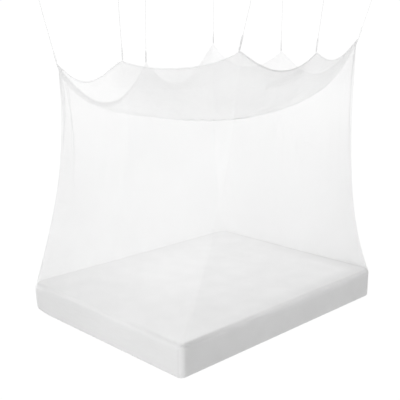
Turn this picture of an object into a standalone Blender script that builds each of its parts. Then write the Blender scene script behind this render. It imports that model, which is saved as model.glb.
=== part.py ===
"""Box mosquito net hung from eight ceiling cords over a mattress.

A slack roof panel and four side panels of fine net are sewn together under a narrow tape. Eight
tape loops on that seam are tied to cords that rise to ceiling hooks. The side panels draw in at a
waist, flare out to the mattress, fit down its sides and are tucked flat under it.

Metres, +Z up. The origin is on the floor under the middle of the mattress. +Y is the head end.
"""

import math

import bmesh
import bpy
import numpy as np
from mathutils import Vector

# The net where it fits round the mattress, measured over the cloth
BED_WIDTH = 1.570
BED_LENGTH = 2.000
BED_CORNER = 0.090  # radius of the corners seen from above
BED_TOP = 0.207  # height of the mattress's top face
TOP_ROUND = 0.036  # radius of the mattress's upper edge
BASE_ROUND = 0.010  # radius of the mattress's lower edge

# Cloth and clearances
NET_THICK = 0.0015
CLOTH_GAP = 0.0020  # net to the mattress's sides
SEAT_GAP = 0.0003  # between pieces that lie on each other
SEAM_GAP = 0.0003  # tape to the net that it binds
CORNER_PART = 0.0008  # side panels stand this much further from a corner than they are thick
TUCK = 0.080  # how far the hem reaches in under the mattress, less than the corner radius
HEM_CLEAR = 0.003  # hem to the part of the mattress that bears on the floor

# The seam tape
TAPE_THICK = 0.0015
TAPE_ABOVE = 0.0020
TAPE_BELOW = 0.0080
WALL_DROP = 0.0050  # the side panels' top edges lie this far under the seam line

# Loops, cords and hooks
LOOP_WIDTH = 0.010
LOOP_THICK = 0.0015
LOOP_LENGTH = 0.085
LOOP_INNER = 0.0030  # half of the space between the loop's two plies
CORD_WIDTH = 0.0025
CORD_POINTS = 9
CORD_SAG = 0.012  # middle of a cord below the straight line, as a share of its length
CEILING = 2.250
PLATE_RADIUS = 0.016
PLATE_THICK = 0.003
EYE_RADIUS = 0.009  # of the wire's centre line
EYE_WIRE = 0.0015  # radius of the wire
STEM = 0.014  # plate to the top of the eye

# The hanging points: place of the seam's peak, and of the hook that its cord rises to.
# waist is how far the panels draw in below, flare the power that shapes their spread at the foot.
HANG = {
    # name: (x, y, height, hook x, hook y, waist, flare)
    "foot_left": (-0.620, -0.810, 1.742, -0.700, -0.890, 0.036, 2.0),
    "foot_mid": (0.080, -0.810, 1.787, 0.065, -0.825, 0.050, 2.2),
    "foot_right": (0.930, -0.700, 1.862, 0.985, -0.645, 0.012, 1.7),
    "right_mid": (0.850, 0.090, 1.832, 0.880, 0.120, 0.030, 2.2),
    "head_right": (0.690, 0.790, 1.907, 0.755, 0.855, 0.020, 4.2),
    "head_mid": (-0.010, 0.810, 1.797, -0.020, 0.825, 0.045, 3.0),
    "head_left": (-0.720, 0.800, 1.842, -0.755, 0.835, 0.030, 2.6),
    "left_mid": (-0.670, 0.020, 1.717, -0.680, 0.035, 0.040, 2.4),
}

# The seam's sag from each hanging point to the next: its depth, and the powers that make it steep
# or gentle where it leaves the first point and where it reaches the next
SAG = {
    # name: (depth, first power, last power)
    "foot_left": (0.121, 1.18, 1.56),
    "foot_mid": (0.067, 0.82, 0.78),
    "foot_right": (0.108, 1.20, 0.92),
    "right_mid": (0.094, 1.35, 1.25),
    "head_right": (0.205, 1.20, 1.35),
    "head_mid": (0.149, 1.00, 1.00),
    "head_left": (0.225, 1.40, 1.15),
    "left_mid": (0.276, 1.04, 1.07),
}

# The side panels, each from corner to corner anticlockwise seen from above, with the depth of the
# fold that drops beside each corner
SIDES = {
    # name: (first corner, middle, last corner, first fold, last fold)
    "foot": ("foot_left", "foot_mid", "foot_right", 0.022, 0.008),
    "right": ("foot_right", "right_mid", "head_right", 0.010, 0.012),
    "head": ("head_right", "head_mid", "head_left", 0.010, 0.010),
    "left": ("head_left", "left_mid", "foot_left", 0.010, 0.014),
}
SEAM_BOW = 0.020  # the seam draws in between two hanging points
FOLD_FROM, FOLD_WIDE = 0.047, 0.016  # a fold's middle and half width, from the corner
FOLD_ENDS = 0.60  # share of the panel's height where a fold has faded
WAIST_PEAK = 6.75  # makes v * (1 - v) ** 2 peak at 1

ROOF_SAG = 0.345  # belly of the roof under the slack seam
ROOF_FULL = 0.52  # below 1 the belly is fuller, with steeper sides
ROOF_SKEW_X = 1.30  # the belly hangs lower towards +X
ROOF_SKEW_Y = 0.50  # and towards +Y
ROOF_INSET = 0.0008  # the roof's edge lies this far inside the seam line

# Divisions
ARC_STEPS = 3  # columns in half of a bed corner
SPAN_STEPS = 6  # columns from there to the middle of a side
SPAN_EASE = 1.6  # closes the columns up towards the middle hanging point
WALL_ROWS = 13
ROUND_STEPS = 4

NET_WHITE = (0.90, 0.90, 0.90, 1.0)
TAPE_WHITE = (0.82, 0.82, 0.82, 1.0)
CORD_WHITE = (0.78, 0.78, 0.78, 1.0)
BED_WHITE = (0.86, 0.86, 0.86, 1.0)
HOOK_GREY = (0.70, 0.70, 0.71, 1.0)


def clear_scene():
    for old in list(bpy.data.objects):
        bpy.data.objects.remove(old, do_unlink=True)


def new_collection(name):
    made = bpy.data.collections.new(name)
    bpy.context.scene.collection.children.link(made)
    return made


def new_material(name, colour, roughness, metallic=0.0, alpha=1.0):
    made = bpy.data.materials.new(name)
    made.use_nodes = True
    shader = made.node_tree.nodes["Principled BSDF"]
    shader.inputs["Base Color"].default_value = colour
    shader.inputs["Roughness"].default_value = roughness
    shader.inputs["Metallic"].default_value = metallic
    shader.inputs["Alpha"].default_value = alpha
    return made


def add_object(name, data, material, collection):
    data.materials.append(material)
    made = bpy.data.objects.new(name, data)
    collection.objects.link(made)
    return made


def mesh_from(build, name):
    """A mesh of what the bmesh holds, with its faces turned the way that it has them."""
    mesh = bpy.data.meshes.new(name)
    build.to_mesh(mesh)
    build.free()
    return mesh


def grid_mesh(name, rows):
    """A surface through rows of points. Seen from its outer side the first row is on top."""
    build = bmesh.new()
    lines = [[build.verts.new(point) for point in row] for row in rows]
    for upper, lower in zip(lines, lines[1:]):
        for i in range(len(upper) - 1):
            build.faces.new((upper[i], lower[i], lower[i + 1], upper[i + 1]))
    return mesh_from(build, name)


def ring_mesh(name, rings):
    """A closed band: rings of equal length, each joined to the next and the last to the first."""
    build = bmesh.new()
    lines = [[build.verts.new(point) for point in ring] for ring in rings]
    for k, upper in enumerate(lines):
        lower = lines[(k + 1) % len(lines)]
        for i in range(len(upper)):
            j = (i + 1) % len(upper)
            build.faces.new((upper[i], lower[i], lower[j], upper[j]))
    bmesh.ops.recalc_face_normals(build, faces=build.faces)
    return mesh_from(build, name)


def thicken(obj, thickness, outward):
    """Solidify: the modelled surface stays, and the cloth grows to its outer or inner side."""
    solid = obj.modifiers.new("cloth", "SOLIDIFY")
    solid.thickness = thickness
    solid.offset = 1.0 if outward else -1.0
    solid.use_even_offset = True
    solid.use_rim = True


# Columns ---------------------------------------------------------------------------------------


def side_run(side):
    """Length along the bed's outline of one side, from the middle of a corner to the next."""
    straight = (BED_WIDTH if side in ("foot", "head") else BED_LENGTH) - 2 * BED_CORNER
    return straight + BED_CORNER * math.pi / 2


def columns(side):
    """Distances along the bed's outline of a side's columns, closer at corners and middle."""
    run = side_run(side)
    arc = BED_CORNER * math.pi / 4
    half = [arc * k / ARC_STEPS for k in range(ARC_STEPS)]
    for k in range(SPAN_STEPS + 1):
        half.append(arc + (run / 2 - arc) * (1 - (1 - k / SPAN_STEPS) ** SPAN_EASE))
    return half + [run - s for s in reversed(half[:-1])]


def trimmed(stations, gap):
    """The same columns, with the first and last drawn in from the corner."""
    return [stations[0] + gap, *stations[1:-1], stations[-1] - gap]


def outline_point(side, s):
    """(point, outward direction) on the bed's outline, s from the corner where the side starts."""
    ahead = {"foot": (1, 0), "right": (0, 1), "head": (-1, 0), "left": (0, -1)}[side]
    ahead = Vector((*ahead, 0.0))
    outward = Vector((ahead.y, -ahead.x, 0.0))
    across = BED_LENGTH if side in ("foot", "head") else BED_WIDTH
    along = BED_WIDTH if side in ("foot", "head") else BED_LENGTH
    arc = BED_CORNER * math.pi / 4
    flat = along / 2 - BED_CORNER
    if s < arc:
        centre, turn = -flat, (s - arc) / BED_CORNER
    elif s > arc + 2 * flat:
        centre, turn = flat, (s - arc - 2 * flat) / BED_CORNER
    else:
        centre, turn = s - arc - flat, 0.0
    direction = outward * math.cos(turn) + ahead * math.sin(turn)
    inner = ahead * centre + outward * (across / 2 - BED_CORNER)
    return inner + direction * BED_CORNER, direction


# The seam between roof and sides -----------------------------------------------------------------


def hang_point(name):
    x, y, height = HANG[name][:3]
    return Vector((x, y, height))


def mix(side, s, values):
    """A value that eases from the first corner's through the middle's to the last corner's."""
    share = 2 * s / side_run(side)
    first, last = (values[0], values[1]) if share <= 1 else (values[1], values[2])
    share = share if share <= 1 else share - 1
    ease = share * share * (3 - 2 * share)
    return first + (last - first) * ease


def seam_point(side, s):
    """A point of the sagging seam above the bed outline's point s."""
    first, middle, last = SIDES[side][:3]
    share = 2 * s / side_run(side)
    if share > 1:
        first, middle, share = middle, last, share - 1
    start, end = hang_point(first), hang_point(middle)
    depth, steep, steep_end = SAG[first]
    lowest = steep / (steep + steep_end)
    slack = share**steep * max(0.0, 1 - share) ** steep_end
    slack /= lowest**steep * (1 - lowest) ** steep_end
    bow = SEAM_BOW * 4 * share * (1 - share)
    inward = Vector((start.y - end.y, end.x - start.x, 0.0)).normalized()
    return start.lerp(end, share) + inward * bow - Vector((0, 0, depth * slack))


def whole_seam():
    """The seam's points once round, without repeating the corners."""
    return [seam_point(side, s) for side in SIDES for s in columns(side)[:-1]]


def seam_outward(points):
    """Level outward offsets of unit width at each point of the closed seam, mitred."""
    offsets = []
    for i, point in enumerate(points):
        before = (point - points[i - 1]).to_2d().normalized()
        after = (points[(i + 1) % len(points)] - point).to_2d().normalized()
        one, two = Vector((before.y, -before.x)), Vector((after.y, -after.x))
        mitre = (one + two).normalized()
        offsets.append((mitre / mitre.dot(one)).to_3d())
    return offsets


# Net panels --------------------------------------------------------------------------------------


def fold_depth(side, s, v):
    """How far the fold beside a corner presses in, at s along the side and v down the panel."""
    first_fold, last_fold = SIDES[side][3:]
    depth = 0.0
    for away, fold in ((s, first_fold), (side_run(side) - s, last_fold)):
        depth += fold * math.exp(-(((away - FOLD_FROM) / FOLD_WIDE) ** 2))
    fade = max(0.0, 1 - v / FOLD_ENDS)
    return depth * fade * fade * min(1.0, 8 * v)


def wall_column(side, s):
    """The outer face of a side panel down one column, from the seam to its hem under the bed."""
    names = SIDES[side][:3]
    waist = mix(side, s, [HANG[name][5] for name in names])
    flare = mix(side, s, [HANG[name][6] for name in names])
    top = seam_point(side, s) - Vector((0, 0, WALL_DROP))
    rim, outward = outline_point(side, s)
    middle_z = BED_TOP - TOP_ROUND
    radius = TOP_ROUND + CLOTH_GAP + NET_THICK
    spread = (rim - top).to_2d().dot(outward.to_2d())
    lean = math.atan(max(0.0, flare * spread / (top.z - middle_z)))
    foot = rim - outward * radius * (1 - math.cos(lean))
    foot.z = middle_z + radius * math.sin(lean)
    from_middle = Vector((top.x, top.y, 0.0)).normalized()
    points = []
    for k in range(WALL_ROWS):
        v = k / WALL_ROWS
        point = top.lerp(foot, v**flare)
        point.z = top.z + (foot.z - top.z) * v
        point -= from_middle * waist * WAIST_PEAK * v * (1 - v) ** 2
        points.append(point - outward * fold_depth(side, s, v))
    for k in (2, 1, 0):
        angle = lean * k / 2
        around = rim - outward * radius * (1 - math.cos(angle))
        points.append(around + Vector((0, 0, middle_z + radius * math.sin(angle))))
    base = BASE_ROUND + CLOTH_GAP + NET_THICK
    for k in range(ROUND_STEPS + 1):
        angle = math.pi / 2 * k / ROUND_STEPS
        around = rim - outward * base * (1 - math.cos(angle))
        points.append(around + Vector((0, 0, base * (1 - math.sin(angle)))))
    points.append(rim - outward * TUCK)
    return points


def add_wall(side, material, collection):
    """One side panel, its ends parted from the neighbours' by a little over the cloth."""
    stations = trimmed(columns(side), NET_THICK + CORNER_PART)
    lines = [wall_column(side, s) for s in stations]
    rows = [list(row) for row in zip(*lines)]
    wall = add_object(f"wall_{side}", grid_mesh(f"wall_{side}", rows), material, collection)
    wall.data.shade_smooth()
    thicken(wall, NET_THICK, outward=False)


def spread_evenly(across, along, edges, load):
    """Solves a net stretched over a frame: each inner point is the mean of its neighbours, raised
    by the load on it. across and along are the grid lines' places; edges holds the rim."""
    wide, long = len(across), len(along)
    number = {
        (i, j): n
        for n, (i, j) in enumerate((i, j) for i in range(1, wide - 1) for j in range(1, long - 1))
    }
    matrix, right = np.zeros((len(number), len(number))), np.zeros(len(number))
    for (i, j), n in number.items():
        right[n] = load(i, j)
        for places, index, step in ((across, i, (1, 0)), (along, j, (0, 1))):
            before, after = places[index] - places[index - 1], places[index + 1] - places[index]
            for sign, gap in ((-1, before), (1, after)):
                weight = 2 / ((before + after) * gap)
                matrix[n, n] += weight
                near = (i + sign * step[0], j + sign * step[1])
                if near in number:
                    matrix[n, number[near]] -= weight
                else:
                    right[n] += weight * edges[near]
    solved = np.linalg.solve(matrix, right)
    return {**edges, **{key: solved[n] for key, n in number.items()}}


def roof_rim(wide, long):
    """The seam's points by their place on the roof's grid, drawn in from the side panels."""
    foot, right = [(i, 0) for i in range(wide)], [(wide, j) for j in range(long)]
    head, left = [(wide - i, long) for i in range(wide)], [(0, long - j) for j in range(long)]
    points = whole_seam()
    pairs = zip(foot + right + head + left, points, seam_outward(points))
    return {place: point - away * ROOF_INSET for place, point, away in pairs}


def roof_rows():
    """The roof's lower face: the seam all round, and a slack belly inside it."""
    across, along = columns("foot"), columns("right")
    wide, long = len(across) - 1, len(along) - 1
    rim = roof_rim(wide, long)

    def unloaded(i, j):
        return 0.0

    def load(i, j):
        x_share, y_share = across[i] / across[-1] - 0.5, along[j] / along[-1] - 0.5
        return 1 + ROOF_SKEW_X * x_share + ROOF_SKEW_Y * y_share

    axes = [
        spread_evenly(across, along, {k: p[a] for k, p in rim.items()}, unloaded) for a in range(3)
    ]
    belly = spread_evenly(across, along, dict.fromkeys(rim, 0.0), load)
    deepest = max(belly.values())
    rows = []
    for j in range(long, -1, -1):
        row = []
        for i in range(wide + 1):
            sag = ROOF_SAG * (max(0.0, belly[i, j]) / deepest) ** ROOF_FULL
            row.append(Vector((axes[0][i, j], axes[1][i, j], axes[2][i, j] - sag)))
        rows.append(row)
    return rows


def add_roof(material, collection):
    roof = add_object("roof_panel", grid_mesh("roof_panel", roof_rows()), material, collection)
    roof.data.shade_smooth()
    thicken(roof, NET_THICK, outward=True)


def add_tape(material, collection):
    """The tape that binds the seam: a closed strip just outside the net."""
    points = whole_seam()
    outward = seam_outward(points)
    near, far = SEAM_GAP, SEAM_GAP + TAPE_THICK
    section = ((near, TAPE_ABOVE), (far, TAPE_ABOVE), (far, -TAPE_BELOW), (near, -TAPE_BELOW))
    rings = [
        [point + away * off + Vector((0, 0, rise)) for point, away in zip(points, outward)]
        for off, rise in section
    ]
    add_object("edge_tape", ring_mesh("edge_tape", rings), material, collection)


# What the net hangs from ---------------------------------------------------------------------------


def cord_line(name):
    """(start of the loop, unit direction up the cord, end of the cord) for a hanging point."""
    hook_x, hook_y = HANG[name][3:5]
    start = hang_point(name) + Vector((0, 0, TAPE_ABOVE + SEAT_GAP))
    eye = CEILING - PLATE_THICK - STEM - 2 * EYE_RADIUS - EYE_WIRE - SEAT_GAP
    end = Vector((hook_x, hook_y, eye))
    return start, (end - start).normalized(), end


def seam_direction(name):
    """The level direction of the seam at a hanging point, across a corner's two sides."""
    around = list(HANG)
    place = around.index(name)
    gap = hang_point(around[(place + 1) % len(around)]) - hang_point(around[place - 1])
    return Vector((gap.x, gap.y, 0.0)).normalized()


def add_loop(name, material, collection):
    """A folded tape loop, standing on the seam in line with its cord."""
    start, up, _ = cord_line(name)
    side = seam_direction(name)
    side = (side - up * side.dot(up)).normalized()
    out = side.cross(up)
    outer = LOOP_INNER + LOOP_THICK
    paths = []
    for radius in (outer, LOOP_INNER):
        path = []
        for centre, first in ((LOOP_LENGTH - outer, 0.0), (outer, math.pi)):
            for k in range(ROUND_STEPS + 1):
                angle = first + math.pi * k / ROUND_STEPS
                path.append(
                    start + up * (centre + radius * math.sin(angle)) + out * radius * math.cos(angle)
                )
        paths.append(path)
    outer_path, inner_path = paths
    corners = ((outer_path, -1), (outer_path, 1), (inner_path, 1), (inner_path, -1))
    rings = [[point + side * sign * LOOP_WIDTH / 2 for point in path] for path, sign in corners]
    add_object(f"loop_{name}", ring_mesh(f"loop_{name}", rings), material, collection)


def cord_route(name):
    """The cord's centre line: nearly straight from the loop up to the hook's eye."""
    start, up, end = cord_line(name)
    low = start + up * (LOOP_LENGTH + SEAT_GAP)
    length = (end - low).length
    route = []
    for k in range(CORD_POINTS):
        share = k / (CORD_POINTS - 1)
        drop = 4 * CORD_SAG * length * share * (1 - share)
        route.append(low.lerp(end, share) - Vector((0, 0, drop)))
    return route


def add_cord(name, material, collection):
    curve = bpy.data.curves.new(f"cord_{name}", "CURVE")
    curve.dimensions = "3D"
    curve.bevel_depth = CORD_WIDTH / 2
    curve.bevel_resolution = 2
    curve.use_fill_caps = True
    spline = curve.splines.new("POLY")
    route = cord_route(name)
    spline.points.add(len(route) - 1)
    for knot, point in zip(spline.points, route):
        knot.co = (*point, 1.0)
    add_object(f"cord_{name}", curve, material, collection)


def add_hook(name, material, collection, cutters):
    """A round ceiling plate with a stem and an eye under it, joined into one solid."""
    hook_x, hook_y = HANG[name][3:5]
    build = bmesh.new()
    bmesh.ops.create_cone(
        build, cap_ends=True, segments=16, radius1=PLATE_RADIUS, radius2=PLATE_RADIUS, depth=PLATE_THICK
    )
    hook = add_object(f"hook_{name}", mesh_from(build, f"hook_{name}"), material, collection)
    hook.location = (hook_x, hook_y, CEILING - PLATE_THICK / 2)

    build = bmesh.new()
    reach = STEM + EYE_WIRE + PLATE_THICK / 2
    bmesh.ops.create_cone(
        build, cap_ends=True, segments=8, radius1=EYE_WIRE * 1.3, radius2=EYE_WIRE * 1.3, depth=reach
    )
    stem = add_object(f"stem_{name}", mesh_from(build, f"stem_{name}"), material, cutters)
    stem.location = (hook_x, hook_y, CEILING - PLATE_THICK / 2 - reach / 2)

    bpy.ops.mesh.primitive_torus_add(
        major_radius=EYE_RADIUS, minor_radius=EYE_WIRE, major_segments=16, minor_segments=6
    )
    eye = bpy.context.object
    eye.name = f"eye_{name}"
    eye.rotation_euler = (math.pi / 2, 0.0, 0.0)
    eye.location = (hook_x, hook_y, CEILING - PLATE_THICK - STEM - EYE_RADIUS)
    for holder in list(eye.users_collection):
        holder.objects.unlink(eye)
    cutters.objects.link(eye)

    for piece in (stem, eye):
        piece.hide_render = True
        piece.display_type = "WIRE"
        join = hook.modifiers.new(piece.name, "BOOLEAN")
        join.operation = "UNION"
        join.object = piece


# Mattress ------------------------------------------------------------------------------------------


def add_mattress(material, collection):
    """A plain box with rounded corners and softer upper and lower edges, recessed for the hem."""
    inset = NET_THICK + CLOTH_GAP
    low, high = NET_THICK + SEAT_GAP, BED_TOP
    build = bmesh.new()
    bmesh.ops.create_cube(build, size=1.0)
    size = Vector((BED_WIDTH - 2 * inset, BED_LENGTH - 2 * inset, high - low))
    for vert in build.verts:
        vert.co = Vector([c * s for c, s in zip(vert.co, size)]) + Vector((0, 0, (low + high) / 2))
    uprights = [e for e in build.edges if abs(e.verts[0].co.z - e.verts[1].co.z) > size.z / 2]
    bmesh.ops.bevel(
        build,
        geom=uprights,
        offset=BED_CORNER - inset,
        segments=2 * ARC_STEPS,
        profile=0.5,
        affect="EDGES",
    )
    for height, radius in ((high, TOP_ROUND), (low, BASE_ROUND)):
        rim = [
            e
            for e in build.edges
            if all(abs(v.co.z - height) < 1e-6 for v in e.verts) and len(e.link_faces) == 2
        ]
        rim = [e for e in rim if abs(e.link_faces[0].normal.z - e.link_faces[1].normal.z) > 0.5]
        bmesh.ops.bevel(
            build, geom=rim, offset=radius, segments=ROUND_STEPS, profile=0.5, affect="EDGES"
        )
        build.normal_update()
    # Inside the hem the soft underside reaches the floor
    base = min(build.faces, key=lambda face: face.calc_center_median().z + face.normal.z)
    for reach in (TUCK - inset - BASE_ROUND + HEM_CLEAR, HEM_CLEAR):
        bmesh.ops.inset_region(build, faces=[base], thickness=reach, use_even_offset=True)
    for vert in base.verts:
        vert.co.z = 0.0
    add_object("mattress", mesh_from(build, "mattress"), material, collection).data.shade_smooth()


def main():
    clear_scene()
    parts = new_collection("mosquito_net_canopy")
    cutters = new_collection("cutters")
    net = new_material("net", NET_WHITE, 0.85, alpha=0.35)
    tape = new_material("tape", TAPE_WHITE, 0.8)
    loops = new_material("loop_tape", TAPE_WHITE, 0.8)
    cord = new_material("cord", CORD_WHITE, 0.7)
    metal = new_material("hook_metal", HOOK_GREY, 0.35, metallic=1.0)
    ticking = new_material("ticking", BED_WHITE, 0.9)
    add_mattress(ticking, parts)
    for side in SIDES:
        add_wall(side, net, parts)
    add_roof(net, parts)
    add_tape(tape, parts)
    for name in HANG:
        add_loop(name, loops, parts)
        add_cord(name, cord, parts)
        add_hook(name, metal, parts, cutters)


main()
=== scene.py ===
"""Looks of the box mosquito net canopy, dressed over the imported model.

Every piece stands on the same tables as the solids: the hanging points, the sagging seam, the bed's
outline, and the cords' lines. Metres, +Z up, the origin on the floor under the mattress's middle.
"""

import math

import bpy
import mathutils
import numpy as np
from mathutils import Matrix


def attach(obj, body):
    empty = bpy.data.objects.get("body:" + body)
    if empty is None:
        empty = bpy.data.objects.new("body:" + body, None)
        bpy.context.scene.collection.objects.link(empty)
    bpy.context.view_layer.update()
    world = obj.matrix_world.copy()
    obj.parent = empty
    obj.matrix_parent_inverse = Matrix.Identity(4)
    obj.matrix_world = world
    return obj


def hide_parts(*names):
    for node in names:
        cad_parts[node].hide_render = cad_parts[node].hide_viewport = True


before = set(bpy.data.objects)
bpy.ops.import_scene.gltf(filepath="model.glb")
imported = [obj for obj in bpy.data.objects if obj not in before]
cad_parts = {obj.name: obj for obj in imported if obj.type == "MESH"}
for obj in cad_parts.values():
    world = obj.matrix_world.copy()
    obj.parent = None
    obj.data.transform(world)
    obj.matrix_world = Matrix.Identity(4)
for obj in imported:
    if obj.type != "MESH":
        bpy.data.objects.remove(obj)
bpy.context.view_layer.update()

# --- Sizes shared with the solids ---

BED_WIDTH, BED_LENGTH, BED_CORNER, BED_TOP = 1.570, 2.000, 0.090, 0.207
BASE_ROUND, BASE_SOFT, BASE_BULGE = 0.010, 0.032, 0.006  # softer, and fuller, at the foot's left corner
SQUARE_CORNERS = {"foot_right": 0.044}  # radius of the corner that the cover's seam draws tight
NET_THICK, CLOTH_GAP, TUCK = 0.0015, 0.0020, 0.080
TAPE_ABOVE, WALL_DROP = 0.0020, 0.0050  # the seam to the tape's top, and to the panels' top edges
LOOP_LENGTH, LOOP_WIDTH = 0.085, 0.010
SEAT_GAP = 0.0003  # between pieces that lie on each other
CORD_WIDTH, CORD_SAG, CORD_POINTS = 0.0025, 0.012, 9
CEILING, PLATE_THICK, STEM = 2.250, 0.003, 0.014
EYE_RADIUS, EYE_WIRE = 0.009, 0.0015
SEAM_BOW, WAIST_PEAK = 0.020, 6.75  # the seam's spans bow in; the waist's curve is 1 at its deepest
ROOF_SAG, ROOF_FULL, ROOF_SKEW_X, ROOF_SKEW_Y = 0.345, 0.52, 1.30, 0.50

HANG = {
    # name: (x, y, height, hook x, hook y, waist, flare, radius of the bed's top edge,
    #        and for the span to the next: sag, first power of its curve, last power)
    "foot_left": (-0.620, -0.810, 1.742, -0.700, -0.890, 0.039, 2.0, 0.034, 0.121, 1.18, 1.56),
    "foot_mid": (0.080, -0.810, 1.787, 0.065, -0.825, 0.050, 2.2, 0.030, 0.067, 0.82, 0.78),
    "foot_right": (0.930, -0.700, 1.862, 0.985, -0.645, 0.012, 1.7, 0.034, 0.108, 1.20, 0.92),
    "right_mid": (0.850, 0.090, 1.832, 0.880, 0.120, 0.030, 2.2, 0.040, 0.094, 1.35, 1.25),
    "head_right": (0.690, 0.790, 1.907, 0.755, 0.855, 0.020, 4.2, 0.030, 0.205, 1.20, 1.35),
    "head_mid": (-0.010, 0.810, 1.797, -0.020, 0.825, 0.045, 3.0, 0.045, 0.149, 1.00, 1.00),
    "head_left": (-0.720, 0.800, 1.842, -0.755, 0.835, 0.030, 2.6, 0.045, 0.225, 1.40, 1.15),
    "left_mid": (-0.670, 0.020, 1.717, -0.680, 0.035, 0.040, 2.4, 0.045, 0.276, 1.04, 1.07),
}
SIDES = {
    "foot": ("foot_left", "foot_mid", "foot_right"),
    "right": ("foot_right", "right_mid", "head_right"),
    "head": ("head_right", "head_mid", "head_left"),
    "left": ("head_left", "left_mid", "foot_left"),
}
AHEAD = {"foot": (1, 0), "right": (0, 1), "head": (-1, 0), "left": (0, -1)}

# --- Shades, light and camera ---

NET_WHITE = (0.80, 0.80, 0.80, 1.0)
TAPE_WHITE = (0.88, 0.88, 0.88, 1.0)
CORD_WHITE = (0.85, 0.85, 0.85, 1.0)
COVER_WHITE = (0.822, 0.822, 0.822, 1.0)
STEEL = (0.66, 0.66, 0.67, 1.0)
WHITE = (1.0, 1.0, 1.0, 1.0)
FLOOR_GREY = (0.03, 0.03, 0.03, 1.0)  # under a glow that washes the shadows out, as on a photo table
FLOOR_GLOW, BACKDROP, AMBIENT = 0.99, 1.03, 0.385
KEY_POWER, KEY_LEAN, KEY_SIZE = 2.75, (24, -6), 35  # a broad sun, with its angles in degrees
FILL_POWER, FILL_PLACE, FILL_AIM = 0.72, (0.78, -1.65, 0.05), (0.72, -1.0, 0.06)
CAMERA_PLACE, CAMERA_DOWN, CAMERA_TURN = (3.626, -3.671, 2.005), 0.2347, 0.789  # angles in radians
FOCAL_LENGTH = 66.37


# --- Objects and camera ---


def add_object(name, data):
    made = bpy.data.objects.new(name, data)
    bpy.context.scene.collection.objects.link(made)
    return made


def add_camera():
    data = bpy.data.cameras.new("camera")
    data.sensor_width, data.lens = 36.0, FOCAL_LENGTH
    data.clip_start, data.clip_end = 0.1, 200.0
    camera = add_object("camera", data)
    camera.location = CAMERA_PLACE
    camera.rotation_euler = (math.pi / 2 - CAMERA_DOWN, 0.0, CAMERA_TURN)
    bpy.context.scene.camera = camera


# --- Shader helpers ---


class Nodes:
    """A material under construction, with its Principled shader."""

    def __init__(self, name, colour, roughness, inputs=()):
        self.material = bpy.data.materials.new(name)
        self.material.use_nodes = True
        self.tree = self.material.node_tree
        self.shader = self.tree.nodes["Principled BSDF"]
        for key, value in {"Base Color": colour, "Roughness": roughness, **dict(inputs)}.items():
            self.shader.inputs[key].default_value = value

    def add(self, kind, inputs=(), **settings):
        node = self.tree.nodes.new(kind)
        for key, value in settings.items():
            setattr(node, key, value)
        for key, value in dict(inputs).items():
            if isinstance(value, bpy.types.NodeSocket):
                self.tree.links.new(value, node.inputs[key])
            else:
                node.inputs[key].default_value = value
        return node

    def place(self):
        return self.add("ShaderNodeTexCoord").outputs["Object"]

    def maths(self, operation, *values):
        return self.add("ShaderNodeMath", dict(enumerate(values)), operation=operation).outputs[0]

    def attribute(self, name):
        return self.add("ShaderNodeAttribute", attribute_name=name).outputs["Fac"]

    def noise(self, vector, scale, detail):
        inputs = {"Vector": vector, "Scale": scale, "Detail": detail}
        return self.add("ShaderNodeTexNoise", inputs).outputs["Fac"]

    def link(self, source, name):
        self.tree.links.new(source, self.shader.inputs[name])

    def bump(self, height, strength, distance):
        made = self.add("ShaderNodeBump", {"Strength": strength, "Distance": distance, "Height": height})
        self.link(made.outputs["Normal"], "Normal")

    def threads(self, vector, angle, period, profile="TRI"):
        """Lines at this angle and spacing over the cloth's own metres."""
        turned = self.add("ShaderNodeMapping", {"Vector": vector, "Rotation": (0.0, 0.0, angle)})
        wave = self.add(
            "ShaderNodeTexWave",
            {"Vector": turned.outputs[0], "Scale": 2 * math.pi / 20 / period},
            wave_profile=profile,
        )
        return wave.outputs["Fac"]


def mottle(nodes, vector, scale, low, high, colour):
    """The colour, a little lighter and darker from place to place, with painted shade where a mesh attribute
    is above 0 and painted light where it is below.
    """
    shades = nodes.add("ShaderNodeValToRGB", {"Fac": nodes.noise(vector, scale, 3.0)})
    for stop, place, shade in zip(shades.color_ramp.elements, (0.3, 0.7), (low, high)):
        stop.position = place
        stop.color = (colour[0] * shade, colour[1] * shade, colour[2] * shade, 1.0)
    # Painted shading: one minus the attribute scales the colour, darker above 0 and lighter below
    painted_brightness = nodes.maths("SUBTRACT", 1.0, nodes.attribute("painted_shading"))
    toned = nodes.add("ShaderNodeVectorMath", {0: shades.outputs["Color"], "Scale": painted_brightness}, operation="SCALE")
    nodes.link(toned.outputs[0], "Base Color")


THREAD_ANGLE = math.radians(58)  # from the cloth's edge to each of its two sets of threads
NET_PITCH, TAPE_PITCH = 0.0019, 0.0013  # thread to thread
SET_SHARE = 0.52  # of the net's share of threads, for each set


def diamond(nodes, flat, pitch):
    """Two sets of crossing threads: 1 at a thread's middle, 0 between two threads."""
    one = nodes.threads(flat, THREAD_ANGLE, pitch)
    two = nodes.threads(flat, -THREAD_ANGLE, pitch)
    return nodes.maths("MAXIMUM", one, two)


def net_material():
    """Fine diamond net: alpha follows crossing threads, closer where the cloth is gathered."""
    nodes = Nodes("net", NET_WHITE, 0.75, {"Sheen Weight": 0.15})
    flat = nodes.add("ShaderNodeUVMap", uv_map="cloth").outputs[0]
    uneven = nodes.maths("MULTIPLY_ADD", nodes.noise(flat, 5.0, 2.0), 0.30, 0.85)
    share = nodes.maths("MULTIPLY", nodes.attribute("gather"), uneven)
    share = nodes.maths("MULTIPLY", share, SET_SHARE)
    edge = nodes.maths("SUBTRACT", 1.0, share)
    thread = diamond(nodes, flat, NET_PITCH)
    nodes.link(nodes.maths("GREATER_THAN", thread, edge), "Alpha")
    mottle(nodes, flat, 9.0, 0.96, 1.0, NET_WHITE)
    nodes.bump(thread, 0.35, 0.0004)
    return nodes.material


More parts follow.
